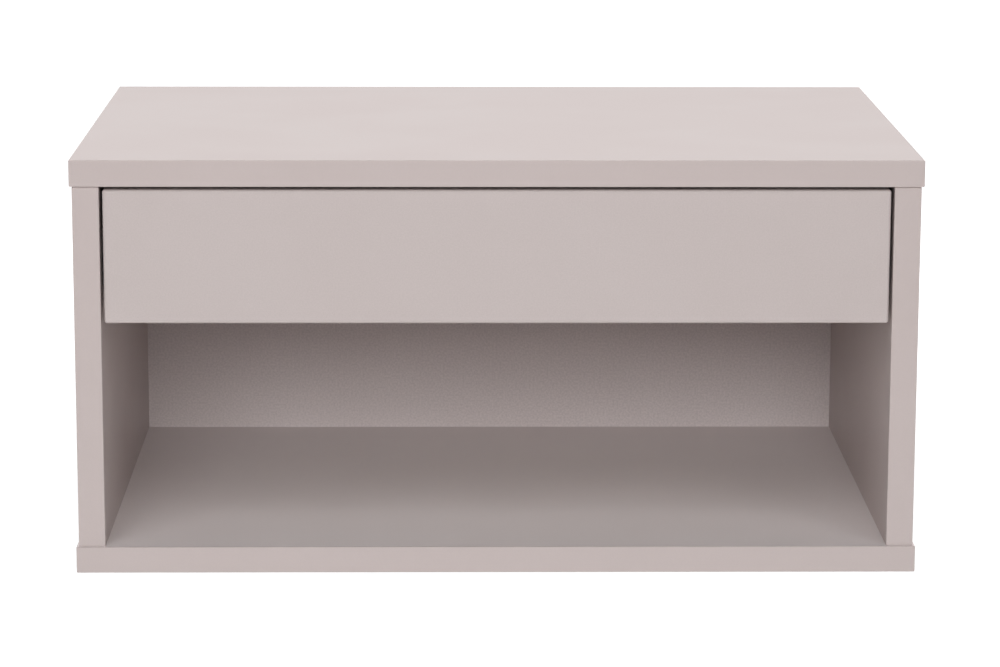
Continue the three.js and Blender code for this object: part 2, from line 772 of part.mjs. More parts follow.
// The shoulder of the cabinet member rises at a slope from the web to its race.
const shoulderNormal = new THREE.Vector2(Math.cos(shoulderAngle), Math.sin(shoulderAngle));
const shoulderBend = (() => {
  const x = cabinetWeb + cabinetBendRadius;
  const level = shoulderNormal.dot(new THREE.Vector2(outerRow.x, outerRow.y)) + raceRadius;
  const y = (level - cabinetBendRadius - shoulderNormal.x * x) / shoulderNormal.y;
  return { x, y };
})();

const cabinetArcs = [
  arc(shoulderBend, cabinetBendRadius, Math.PI, shoulderAngle),
  arc(outerRow, raceRadius, shoulderAngle, cabinetLipAngle),
];

const rowAngle = Math.atan2(rowDrop, rowStagger);
const middleBend = {
  x: middleWeb + middleBendRadius,
  y: outerRow.y - (middleBendRadius + raceRadius) * Math.sin(middleBendAngle),
};
const middleArcs = [
  arc(middleBend, middleBendRadius, Math.PI, middleBendAngle),
  arc(outerRow, raceRadius, middleBendAngle - Math.PI, -rowAngle),
  arc(innerRow, raceRadius, Math.PI - rowAngle, middleLipAngle),
];

const drawerBendSpace = drawerWeb - innerRow.x - raceRadius * Math.cos(drawerRaceAngle);
const drawerBendRadius = drawerBendSpace / (1 + Math.cos(drawerRaceAngle));
const drawerBend = {
  x: drawerWeb - drawerBendRadius,
  y: innerRow.y + (raceRadius + drawerBendRadius) * Math.sin(drawerRaceAngle),
};
const drawerArcs = [
  arc(drawerBend, drawerBendRadius, 0, Math.PI + drawerRaceAngle),
  arc(innerRow, raceRadius, drawerRaceAngle, drawerLipAngle),
];

// The outer cage follows the cabinet member at a distance and turns level into its balls.
const cageOffset = cageWeb - cabinetWeb;
const outerCageTurn = (() => {
  const y = outerRow.y - cageBendRadius;
  const bendLevel = shoulderNormal.dot(new THREE.Vector2(shoulderBend.x, shoulderBend.y));
  const level = bendLevel + cabinetBendRadius - cageOffset - cageBendRadius;
  const x = (level - shoulderNormal.y * y) / shoulderNormal.x;
  return { x, y };
})();
const outerCageArcs = [
  arc(shoulderBend, cabinetBendRadius - cageOffset, Math.PI, shoulderAngle),
  arc(outerCageTurn, cageBendRadius, shoulderAngle, Math.PI / 2),
];
const innerCageTurn = { x: innerCageWeb + cageBendRadius, y: innerRow.y - cageBendRadius };
const innerCageArcs = [arc(innerCageTurn, cageBendRadius, Math.PI, Math.PI / 2)];

// A cage is a bent strip with an arm into each row of balls, and the balls are held fast in it.
function cageGeometry(arcs, row) {
  const web = extrude(strip(arcs, cageSteel), cageLength, arcSteps);
  const turn = arcs[arcs.length - 1].centre.x;
  const armTip = row.x + ballRadius + cageArmReach;
  const pieces = [web];
  for (const side of [-1, 1]) {
    const arm = block(armTip - turn, cageSteel, cageLength);
    pieces.push(arm.translate((turn + armTip) / 2, side * row.y, cageLength / 2));
    for (let ball = 0; ball < ballsPerRow; ball += 1) {
      const pitch = (cageLength - 2 * cageEndMargin) / (ballsPerRow - 1);
      const sphere = new THREE.SphereGeometry(ballRadius, ballSides, ballRings);
      pieces.push(sphere.translate(row.x, side * row.y, cageEndMargin + ball * pitch));
    }
  }
  return fuse(...pieces);
}

const slotCutter = (length, height) => (
  extrude(obround(length, height), 2 * runnerThickness)
    .rotateY(-Math.PI / 2)
    .translate(runnerThickness, 0, 0));

function withSlots(geometry, length, height, places) {
  const cutters = places.map((place) => slotCutter(length, height).translate(0, 0, place));
  return cut(geometry, ...cutters);
}

function cabinetMember() {
  const tabReach = runnerThickness - stopTabClearance;
  const tab = block(tabReach, stopTabHeight, stopTabThickness);
  tab.translate(tabReach / 2, 0, runnerLength - stopTabThickness / 2);
  const channel = withSlots(
    extrude(strip(cabinetArcs, runnerSteel), runnerLength, raceSteps),
    slotLength,
    slotHeight,
    [slotInset, runnerLength - slotInset],
  );
  return fuse(channel, tab);
}

function middleMember() {
  const centre = memberLength / 2;
  const channel = extrude(strip(middleArcs, runnerSteel), memberLength, raceSteps);
  const places = [centre - windowSpacing, centre, centre + windowSpacing];
  return withSlots(channel, windowLength, windowHeight, places);
}

function drawerMember() {
  const channel = extrude(strip(drawerArcs, runnerSteel), memberLength, raceSteps);
  return withSlots(channel, slotLength, slotHeight, [slotInset, memberLength - slotInset]);
}

const runnerScrew = countersunkScrew(
  runnerScrewRadius,
  runnerScrewHeadRadius,
  runnerScrewHeadHeight,
  runnerScrewLength,
);
const cabinetMemberGeometry = cabinetMember();
const middleMemberGeometry = middleMember();
const drawerMemberGeometry = drawerMember();
const outerCageGeometry = cageGeometry(outerCageArcs, outerRow);
const innerCageGeometry = cageGeometry(innerCageArcs, innerRow);

// A runner's frame starts at the front end of its cabinet member, with Z running to the rear.
// The left one is the right one turned upside down.
function addRunner({ name, sign }, sidePanel, boxSide) {
  const runner = new THREE.Group();
  nightstand.add(runner);
  const wall = innerHalfWidth - seatGap;
  runner.position.set(sign * wall, frontRear + runnerSetback, runnerCentre);
  const up = zAxis.clone().multiplyScalar(sign);
  aim(runner, yAxis, up);
  const cabinetSide = addPiece(runner, `runner_cabinet_${name}`, cabinetMemberGeometry, zincSteel);
  addPiece(runner, `runner_middle_${name}`, middleMemberGeometry, zincSteel);
  const drawerSide = addPiece(runner, `runner_drawer_${name}`, drawerMemberGeometry, zincSteel);
  // At rest a cage is centred. It keeps between its members as far as the drawer travels.
  const cageStart = (runnerLength - cageLength) / 2;
  const cages = [
    { place: 'outer', geometry: outerCageGeometry },
    { place: 'inner', geometry: innerCageGeometry },
  ];
  for (const { place, geometry } of cages) {
    const cage = addPiece(runner, `ball_cage_${place}_${name}`, geometry, brightSteel);
    cage.position.z = cageStart;
  }
  const stations = [
    { place: 'front', z: runnerScrewInset },
    { place: 'rear', z: runnerLength - runnerScrewInset },
  ];
  const towardsDrawer = xAxis;
  const towardsCabinet = xAxis.clone().negate();
  for (const { place, z } of stations) {
    const cabinetPlace = new THREE.Vector3(runnerSteel, 0, z);
    const drawerPlace = new THREE.Vector3(runnerThickness - runnerSteel, 0, z);
    const cabinetName = `cabinet_runner_screw_${name}_${place}`;
    const drawerName = `drawer_runner_screw_${name}_${place}`;
    fasten(runner, cabinetName, runnerScrew, cabinetPlace, towardsCabinet, yAxis, [cabinetSide, sidePanel]);
    fasten(runner, drawerName, runnerScrew, drawerPlace, towardsDrawer, yAxis, [drawerSide, boxSide]);
  }
}

sides.forEach((side, index) => addRunner(side, sidePanels[index], boxSides[index]));

drillBoards();

export default nightstand;
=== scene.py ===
"""Looks, camera and stage of the floating nightstand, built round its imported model."""

import json
import math

import bmesh
import bpy
from bpy.props import FloatProperty, FloatVectorProperty, IntProperty, PointerProperty
from mathutils import Matrix, Vector

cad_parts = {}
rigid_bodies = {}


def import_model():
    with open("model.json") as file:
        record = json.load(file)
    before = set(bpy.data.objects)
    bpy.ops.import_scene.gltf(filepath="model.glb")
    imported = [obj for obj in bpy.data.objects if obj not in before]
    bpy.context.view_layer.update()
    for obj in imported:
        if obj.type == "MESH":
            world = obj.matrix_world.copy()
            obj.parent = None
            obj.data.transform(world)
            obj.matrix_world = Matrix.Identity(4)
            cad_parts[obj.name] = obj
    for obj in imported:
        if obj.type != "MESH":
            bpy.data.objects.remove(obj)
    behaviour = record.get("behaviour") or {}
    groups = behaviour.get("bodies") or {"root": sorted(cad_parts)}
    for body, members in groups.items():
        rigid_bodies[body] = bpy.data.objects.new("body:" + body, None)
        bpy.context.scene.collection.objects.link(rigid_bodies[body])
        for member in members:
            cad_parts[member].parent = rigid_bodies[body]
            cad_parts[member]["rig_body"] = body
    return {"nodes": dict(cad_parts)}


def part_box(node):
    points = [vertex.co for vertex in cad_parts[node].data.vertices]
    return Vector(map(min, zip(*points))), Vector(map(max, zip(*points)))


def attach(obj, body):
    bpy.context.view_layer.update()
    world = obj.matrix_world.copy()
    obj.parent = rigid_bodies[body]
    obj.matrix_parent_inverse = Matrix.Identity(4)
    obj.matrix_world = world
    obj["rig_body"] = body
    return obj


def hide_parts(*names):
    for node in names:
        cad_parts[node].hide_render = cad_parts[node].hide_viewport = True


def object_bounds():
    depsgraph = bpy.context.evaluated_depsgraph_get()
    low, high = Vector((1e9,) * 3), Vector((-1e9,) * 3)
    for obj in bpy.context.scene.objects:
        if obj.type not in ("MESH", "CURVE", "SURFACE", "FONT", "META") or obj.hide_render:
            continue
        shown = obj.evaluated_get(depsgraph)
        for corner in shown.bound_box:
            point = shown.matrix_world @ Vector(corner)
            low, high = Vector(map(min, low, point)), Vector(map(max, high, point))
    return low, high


bl_info = {
    "name": "Floating Nightstand",
    "version": (1, 0, 0),
    "blender": (4, 5, 0),
    "location": "3D View > Sidebar > Nightstand",
    "description": "Boards, drawer, runners and fittings of a wall-hung nightstand, and its stage",
    "category": "Object",
}

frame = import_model()
cad_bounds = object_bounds()

SIDES = ("left", "right")
ENDS = ("front", "rear")
LEVELS = ("lower", "upper")
X_AXIS = Vector((1.0, 0.0, 0.0))
Y_AXIS = Vector((0.0, 1.0, 0.0))
Z_AXIS = Vector((0.0, 0.0, 1.0))
MILLIMETRE = 0.001

# Points closer than the weld are one point, and faces that turn by less than the angle are one face.
WELD = 0.002 * MILLIMETRE
FLAT_ANGLE = math.radians(0.4)

# Edges that turn by more than these angles stay sharp.
BOARD_CREASE = math.radians(50)
BACK_CREASE = math.radians(40)
FRONT_CREASE = math.radians(35)
STRIP_CREASE = math.radians(32)
CAGE_CREASE = math.radians(50)
FITTING_CREASE = math.radians(40)

# Faces round a bore.
BORE_FACES = 32

# How far up the normal of a level face points, and how far along the runner those of a ball lean.
LEVEL_NORMAL = 0.99
BALL_NORMALS = (0.02, 0.98)

# Nearly all of a noise lies between these values.
NOISE_LOW = 0.35
NOISE_HIGH = 0.65

# The colour sockets of a mix node, whose sockets for other types share their names.
MIX_FIRST = 6
MIX_SECOND = 7
MIX_RESULT = 2

# Linear colours with their alpha.
WHITE = (1.0, 1.0, 1.0, 1.0)
LACQUER_DRIFT = (0.985, 0.982, 0.98, 1.0)
STEEL_STREAK = (0.9, 0.9, 0.9, 1.0)
STUDIO_PAPER = (0.86, 0.86, 0.86, 1.0)


class BoardSettings(bpy.types.PropertyGroup):
    """Sizes and colours of the lacquered boards."""

    arris_radius: FloatProperty(
        name="Arris radius",
        description="Rounding of the edges of the lacquered boards",
        default=0.8 * MILLIMETRE,
        min=0.1 * MILLIMETRE,
        unit="LENGTH",
        subtype="DISTANCE",
    )
    arris_steps: IntProperty(
        name="Arris steps",
        description="Faces across a rounded edge",
        default=4,
        min=1,
    )
    seam_radius: FloatProperty(
        name="Seam radius",
        description="Rounding round the upper end of a side panel, under the fine dark seam of the top",
        default=0.7 * MILLIMETRE,
        min=0.1 * MILLIMETRE,
        unit="LENGTH",
        subtype="DISTANCE",
    )
    seam_steps: IntProperty(
        name="Seam steps",
        description="Faces across the rounding at a seam",
        default=2,
        min=1,
    )
    seat_gap: FloatProperty(
        name="Seat gap",
        description="How far the sides go down and the back goes out to close on the boards they meet",
        default=0.3 * MILLIMETRE,
        unit="LENGTH",
        subtype="DISTANCE",
    )
    bore_gap: FloatProperty(
        name="Bore gap",
        description="Gap round a fastener in its bore",
        default=0.2 * MILLIMETRE,
        unit="LENGTH",
        subtype="DISTANCE",
    )
    lacquer_colour: FloatVectorProperty(
        name="Lacquer",
        description="Colour of the lacquer outside and on the edges of the boards",
        default=(0.758, 0.709, 0.700),
        size=3,
        min=0.0,
        max=1.0,
        subtype="COLOR_GAMMA",
    )
    # Painted light: the shelf face gets a lighter copy of the outside lacquer, standing in for the
    # light that the open space under the drawer lacks.
    shelf_colour_with_painted_light: FloatVectorProperty(
        name="Shelf lacquer",
        description="Colour of the open shelf, written lighter because little light reaches it",
        default=(0.908, 0.877, 0.875),
        size=3,
        min=0.0,
        max=1.0,
        subtype="COLOR_GAMMA",
    )
    # Painted light: the back panel's front face gets a lighter copy of the lacquer, standing in for the
    # light that the open space under the drawer lacks.
    back_colour_with_painted_light: FloatVectorProperty(
        name="Back lacquer",
        description="Colour of the back panel's fine-textured face, lighter for the same reason",
        default=(0.920, 0.884, 0.882),
        size=3,
        min=0.0,
        max=1.0,
        subtype="COLOR_GAMMA",
    )
    raw_colour: FloatVectorProperty(
        name="Raw board",
        description="Colour of the bare fibreboard in bores and pockets",
        default=(0.66, 0.55, 0.42),
        size=3,
        min=0.0,
        max=1.0,
        subtype="COLOR_GAMMA",
    )


class DrawerSettings(bpy.types.PropertyGroup):
    """Sizes and colours of the drawer."""

    corner_radius: FloatProperty(
        name="Corner radius",
        description="Rounding round the face of the drawer front",
        default=2.0 * MILLIMETRE,
        unit="LENGTH",
        subtype="DISTANCE",
    )
    corner_steps: IntProperty(
        name="Corner steps",
        description="Faces across a rounded corner of the drawer front",
        default=6,
        min=1,
    )
    bevel_height: FloatProperty(
        name="Finger bevel height",
        description="Height of the bevel behind the lower edge of the drawer front",
        default=14.0 * MILLIMETRE,
        unit="LENGTH",
        subtype="DISTANCE",
    )
    bevel_depth: FloatProperty(
        name="Finger bevel depth",
        description="How far the finger bevel reaches under the drawer front",
        default=9.0 * MILLIMETRE,
        unit="LENGTH",
        subtype="DISTANCE",
    )
    screw_radius: FloatProperty(
        name="Screw radius",
        description="Radius of the screws that hold the front to the box",
        default=2.0 * MILLIMETRE,
        unit="LENGTH",
        subtype="DISTANCE",
    )
    front_colour: FloatVectorProperty(
        name="Front lacquer",
        description="Colour of the fine-textured lacquer on the drawer front",
        default=(0.760, 0.717, 0.709),
        size=3,
        min=0.0,
        max=1.0,
        subtype="COLOR_GAMMA",
    )
    box_colour: FloatVectorProperty(
        name="Box foil",
        description="Colour of the foil on the drawer box",
        default=(0.85, 0.82, 0.79),
        size=3,
        min=0.0,
        max=1.0,
        subtype="COLOR_GAMMA",
    )


class HardwareSettings(bpy.types.PropertyGroup):
    """Colours of the runners and fittings."""

    zinc_colour: FloatVectorProperty(
        name="Zinc plate",
        description="Colour of zinc-plated steel",
        default=(0.67, 0.68, 0.69),
        size=3,
        min=0.0,
        max=1.0,
        subtype="COLOR_GAMMA",
    )
    screw_colour: FloatVectorProperty(
        name="Screws",
        description="Colour of the plated screws, darker than the strip round them",
        default=(0.50, 0.51, 0.53),
        size=3,
        min=0.0,
        max=1.0,
        subtype="COLOR_GAMMA",
    )
    ball_colour: FloatVectorProperty(
        name="Ball steel",
        description="Colour of the polished balls",
        default=(0.78, 0.79, 0.80),
        size=3,
        min=0.0,
        max=1.0,
        subtype="COLOR_GAMMA",
    )
    casting_colour: FloatVectorProperty(
        name="Die casting",
        description="Colour of the die-cast cams",
        default=(0.62, 0.63, 0.64),
        size=3,
        min=0.0,
        max=1.0,
        subtype="COLOR_GAMMA",
    )
    beech_colour: FloatVectorProperty(
        name="Beech",
        description="Colour of the dowels",
        default=(0.84, 0.71, 0.53),
        size=3,
        min=0.0,
        max=1.0,
        subtype="COLOR_GAMMA",
    )


class StageSettings(bpy.types.PropertyGroup):
    """Camera, lamps and floor."""

    camera_place: FloatVectorProperty(
        name="Camera place",
        description="Where the camera stands, in the frame of the part",
        default=(-0.0381, -2.8384, 0.4258),
        size=3,
        subtype="TRANSLATION",
        unit="LENGTH",
    )
    camera_turn: FloatProperty(
        name="Camera turn",
        description="Turn of the camera to the right",
        default=math.radians(0.943),
        subtype="ANGLE",
        unit="ROTATION",
    )
    camera_tilt: FloatProperty(
        name="Camera tilt",
        description="Tilt of the camera downwards",
        default=math.radians(11.391),
        subtype="ANGLE",
        unit="ROTATION",
    )
    camera_roll: FloatProperty(
        name="Camera roll",
        description="Roll of the camera about its view",
        default=math.radians(0.169),
        subtype="ANGLE",
        unit="ROTATION",
    )
    lens: FloatProperty(
        name="Lens",
        description="Focal length on a sensor 36 mm wide",
        default=126.8,
        unit="CAMERA",
    )
    floor_drop: FloatProperty(
        name="Floor drop",
        description="Height of the cabinet above the floor",
        default=0.30,
        unit="LENGTH",
        subtype="DISTANCE",
    )
    floor_size: FloatProperty(
        name="Floor size",
        description="Width of the floor",
        default=16.0,
        unit="LENGTH",
        subtype="DISTANCE",
    )
    ambient: FloatProperty(
        name="Ambient light",
        description="Level of the light that comes from all round",
        default=0.02,
        min=0.0,
        subtype="FACTOR",
    )
    front_power: FloatProperty(
        name="Front light",
        description="Power of the soft box above the camera",
        default=26.5,
        unit="POWER",
    )
    high_power: FloatProperty(
        name="High lights",
        description="Power of each soft box high above the camera",
        default=10.6,
        unit="POWER",
    )
    side_power: FloatProperty(
        name="Side lights",
        description="Power of each soft box beside the nightstand",
        default=34.0,
        unit="POWER",
    )
    top_power: FloatProperty(
        name="Top light",
        description="Power of the soft box overhead",
        default=49.0,
        unit="POWER",
    )


def linear(colour):
    """Linear light for a colour as it is seen, by the sRGB curve."""
    return [
        channel / 12.92 if channel <= 0.04045 else ((channel + 0.055) / 1.055) ** 2.4
        for channel in colour
    ]


def shaded(colour, level):
    """A seen colour as linear light at a level, with its alpha."""
    return [level * channel for channel in linear(colour)] + [1.0]


class Finish:
    """A material whose pattern lies on object coordinates, in metres."""

    def __init__(self, name, roughness, metallic=0.0):
        self.material = bpy.data.materials.new(name)
        self.material.use_nodes = True
        self.nodes = self.material.node_tree.nodes
        self.links = self.material.node_tree.links
        self.shader = self.nodes["Principled BSDF"]
        self.shader.inputs["Roughness"].default_value = roughness
        self.shader.inputs["Metallic"].default_value = metallic
        self.place = self.nodes.new("ShaderNodeTexCoord").outputs["Object"]

    def noise(self, grain, detail):
        """Noise whose grain is given in metres, one size for each axis."""
        mapping = self.nodes.new("ShaderNodeMapping")
        mapping.inputs["Scale"].default_value = [1.0 / size for size in grain]
        self.links.new(self.place, mapping.inputs["Vector"])
        noise = self.nodes.new("ShaderNodeTexNoise")
        noise.inputs["Scale"].default_value = 1.0
        noise.inputs["Detail"].default_value = detail
        self.links.new(mapping.outputs["Vector"], noise.inputs["Vector"])
        return noise.outputs["Fac"]

    def between(self, amount, low, high, low_at=NOISE_LOW, high_at=NOISE_HIGH):
        """A number that runs from low to high as the amount does."""
        span = self.nodes.new("ShaderNodeMapRange")
        span.inputs["From Min"].default_value = low_at
        span.inputs["From Max"].default_value = high_at
        span.inputs["To Min"].default_value = low
        span.inputs["To Max"].default_value = high
        self.links.new(amount, span.inputs["Value"])
        return span.outputs["Result"]

    def ramp(self, amount, low, high):
        """A colour that runs from low to high as a noise does."""
        ramp = self.nodes.new("ShaderNodeValToRGB")
        first, last = ramp.color_ramp.elements
        first.position = NOISE_LOW
        first.color = low
        last.position = NOISE_HIGH
        last.color = high
        self.links.new(amount, ramp.inputs["Fac"])
        return ramp.outputs["Color"]

    def tone(self, amount, colour, dark, light):
        """The colour at a level that runs from dark to light as a noise does."""
        return self.ramp(amount, shaded(colour, dark), shaded(colour, light))

    def mixed(self, first, second, amount, blend="MIX"):
        """The first colour with an amount of the second."""
        mix = self.nodes.new("ShaderNodeMix")
        mix.data_type = "RGBA"
        mix.blend_type = blend
        mix.inputs["Factor"].default_value = amount
        self.links.new(first, mix.inputs[MIX_FIRST])
        self.links.new(second, mix.inputs[MIX_SECOND])
        return mix.outputs[MIX_RESULT]

    def multiplied(self, first, second):
        """The product of two colours."""
        return self.mixed(first, second, amount=1.0, blend="MULTIPLY")

    def set(self, socket, value):
        """Links a pattern to a socket of the shader."""
        self.links.new(value, self.shader.inputs[socket])

    def bump(self, height, depth):
        """Relief of the given depth in metres."""
        bump = self.nodes.new("ShaderNodeBump")
        bump.inputs["Distance"].default_value = depth
        bump.inputs["Strength"].default_value = 1.0
        self.links.new(height, bump.inputs["Height"])
        self.links.new(bump.outputs["Normal"], self.shader.inputs["Normal"])


def even(size):
    """A grain of the same size along each axis."""
    return (size, size, size)


def lacquer(name, colour, roughness, grain, speckle, relief, specular=0.5):
    """Sprayed lacquer: a fine speckle, a wide drift in tone and the relief of the spray."""
    finish = Finish(name, roughness)
    finish.shader.inputs["Specular IOR Level"].default_value = specular
    fine = finish.noise(even(grain), detail=3.0)
    wide = finish.noise(even(90 * MILLIMETRE), detail=1.0)
    speckled = finish.tone(fine, colour, dark=1.0 - speckle, light=1.0 + speckle)
    drift = finish.ramp(wide, low=LACQUER_DRIFT, high=WHITE)
    finish.set("Base Color", finish.multiplied(speckled, drift))
    finish.set("Roughness", finish.between(wide, low=roughness - 0.03, high=roughness + 0.03))
    finish.bump(fine, relief)
    return finish


def raw_board(colour):
    """Bare fibreboard, as a drill leaves it."""
    finish = Finish("Raw fibreboard", roughness=0.85)
    fibres = finish.noise(even(0.6 * MILLIMETRE), detail=4.0)
    finish.set("Base Color", finish.tone(fibres, colour, dark=0.8, light=1.1))
    finish.bump(fibres, depth=0.1 * MILLIMETRE)
    return finish


def box_foil(colour):
    """Printed foil with a faint pore along the boards."""
    finish = Finish("Box foil", roughness=0.5)
    pores = finish.noise((6 * MILLIMETRE, 6 * MILLIMETRE, 0.9 * MILLIMETRE), detail=3.0)
    flecks = finish.noise(even(2.2 * MILLIMETRE), detail=2.0)
    grained = finish.tone(pores, colour, dark=0.95, light=1.02)
    flecked = finish.tone(flecks, colour, dark=0.9, light=1.05)
    finish.set("Base Color", finish.mixed(grained, flecked, amount=0.25))
    finish.set("Roughness", finish.between(pores, low=0.46, high=0.56))
    finish.bump(pores, depth=0.03 * MILLIMETRE)
    return finish


def rolled_steel(colour):
    """Cold-rolled strip with zinc plate: streaks along the roll and a soft cloudiness."""
    finish = Finish("Zinc-plated strip", roughness=0.36, metallic=1.0)
    streaks = finish.noise((0.25 * MILLIMETRE, 25 * MILLIMETRE, 0.25 * MILLIMETRE), detail=3.0)
    clouds = finish.noise(even(14 * MILLIMETRE), detail=2.0)
    clouded = finish.tone(clouds, colour, dark=0.93, light=1.0)
    streaked = finish.ramp(streaks, low=STEEL_STREAK, high=WHITE)
    finish.set("Base Color", finish.multiplied(clouded, streaked))
    finish.set("Roughness", finish.between(streaks, low=0.28, high=0.44))
    finish.bump(streaks, depth=0.004 * MILLIMETRE)
    return finish


def bright_steel(name, colour, roughness, grain):
    """Turned or pressed steel with bright zinc plate."""
    finish = Finish(name, roughness, metallic=1.0)
    marks = finish.noise(even(grain), detail=3.0)
    finish.set("Base Color", finish.tone(marks, colour, dark=0.9, light=1.0))
    finish.set("Roughness", finish.between(marks, low=roughness - 0.06, high=roughness + 0.08))
    finish.bump(marks, depth=0.006 * MILLIMETRE)
    return finish


def die_casting(colour):
    """Die-cast zinc with the grain of its mould."""
    finish = Finish("Die-cast zinc", roughness=0.5, metallic=1.0)
    grain = finish.noise(even(0.5 * MILLIMETRE), detail=4.0)
    finish.set("Base Color", finish.tone(grain, colour, dark=0.82, light=1.0))
    finish.set("Roughness", finish.between(grain, low=0.42, high=0.6))
    finish.bump(grain, depth=0.04 * MILLIMETRE)
    return finish


def beech(name, colour, along):
    """Beech with its grain along the dowel, whose axis is given by its index."""
    finish = Finish(name, roughness=0.6)
    grain = [0.5 * MILLIMETRE] * 3
    grain[along] = 9 * MILLIMETRE
    pores = finish.noise(grain, detail=4.0)
    finish.set("Base Color", finish.tone(pores, colour, dark=0.72, light=1.05))
    finish.set("Roughness", finish.between(pores, low=0.55, high=0.7))
    finish.bump(pores, depth=0.05 * MILLIMETRE)
    return finish


def shade(bm, crease):
    """Smooth faces that break only at edges that turn by more than the crease angle."""
    for face in bm.faces:
        face.smooth = True
    for edge in bm.edges:
        edge.smooth = edge.calc_face_angle(0.0) < crease


def add_object(name, bm, finishes):
    """An object at the origin with the mesh and its finishes."""
    mesh = bpy.data.meshes.new(name)
    bm.to_mesh(mesh)
    bm.free()
    for finish in finishes:
        mesh.materials.append(finish.material)
    piece = bpy.data.objects.new(name, mesh)
    bpy.context.scene.collection.objects.link(piece)
    return piece


def stand_in(piece, node):
    """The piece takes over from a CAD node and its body."""
    even_shading = piece.modifiers.new("Even shading", "WEIGHTED_NORMAL")
    even_shading.keep_sharp = True
    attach(piece, frame["nodes"][node]["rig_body"])
    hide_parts(node)


def block(low, high):
    """A plain board between two corners."""
    bm = bmesh.new()
    bmesh.ops.create_cube(bm, size=1.0)
    bmesh.ops.scale(bm, vec=high - low, verts=bm.verts)
    bmesh.ops.translate(bm, vec=(low + high) / 2, verts=bm.verts)
    return bm


def round_edges(bm, edges, radius, steps):
    """Rounds edges to a radius, with a number of faces across."""
    bmesh.ops.bevel(
        bm,
        geom=edges,
        affect="EDGES",
        offset=radius,
        segments=steps,
        profile=0.5,
        material=-1,
    )


def on_plane(element, axis, level):
    """Whether all points of an edge or face lie at a level along an axis."""
    return all(abs(vert.co.dot(axis) - level) < WELD for vert in element.verts)


def bores(fasteners, gap):
    """One cutter with a rod for each fastener.

    A fastener is given as its node, its axis and the radius of its bore, or None for its own.
    """
    bm = bmesh.new()
    for node, axis, radius in fasteners:
        low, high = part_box(node)
        size = high - low
        width = min(extent for extent, along in zip(size, axis) if not along)
        bore_radius = (radius or width / 2) + gap
        turn = Z_AXIS.rotation_difference(axis).to_matrix().to_4x4()
        bmesh.ops.create_cone(
            bm,
            cap_ends=True,
            segments=BORE_FACES,
            radius1=bore_radius,
            radius2=bore_radius,
            depth=size.dot(axis) + 2 * gap,
            matrix=Matrix.Translation((low + high) / 2) @ turn,
        )
    return bm


def drill(piece, fasteners, gap, raw):
    """Bores the piece for its fasteners, with raw board on the walls."""
    cutter = add_object("bores", bores(fasteners, gap), [raw])
    cut = piece.modifiers.new("Bores", "BOOLEAN")
    cut.operation = "DIFFERENCE"
    cut.solver = "EXACT"
    cut.use_self = True
    cut.material_mode = "TRANSFER"
    cut.object = cutter
    evaluated = piece.evaluated_get(bpy.context.evaluated_depsgraph_get())
    drilled = bpy.data.meshes.new_from_object(evaluated)
    piece.modifiers.clear()
    piece.data = drilled
    drilled.name = piece.name
    bpy.data.objects.remove(cutter)


def merged(node):
    """The mesh of a CAD node, welded, with its flat faces whole."""
    bm = bmesh.new()
    bm.from_mesh(frame["nodes"][node].data)
    bmesh.ops.remove_doubles(bm, verts=bm.verts, dist=WELD)
    bmesh.ops.dissolve_limit(
        bm,
        angle_limit=FLAT_ANGLE,
        use_dissolve_boundaries=False,
        verts=bm.verts,
        edges=bm.edges,
    )
    return bm


def finished_copy(node, suffix, finish, crease=FITTING_CREASE):
    """A CAD node's own shape, shaded smooth, with a finish."""
    bm = merged(node)
    shade(bm, crease)
    stand_in(add_object(f"{node}_{suffix}", bm, [finish]), node)


def seen(nodes, links):
    """One for rays from the camera, a reflection or a clear material, else zero."""
    path = nodes.new("ShaderNodeLightPath")
    level = path.outputs["Is Camera Ray"]
    for kind in ("Is Glossy Ray", "Is Transmission Ray"):
        either = nodes.new("ShaderNodeMath")
        either.operation = "MAXIMUM"
        links.new(level, either.inputs[0])
        links.new(path.outputs[kind], either.inputs[1])
        level = either.outputs["Value"]
    return level


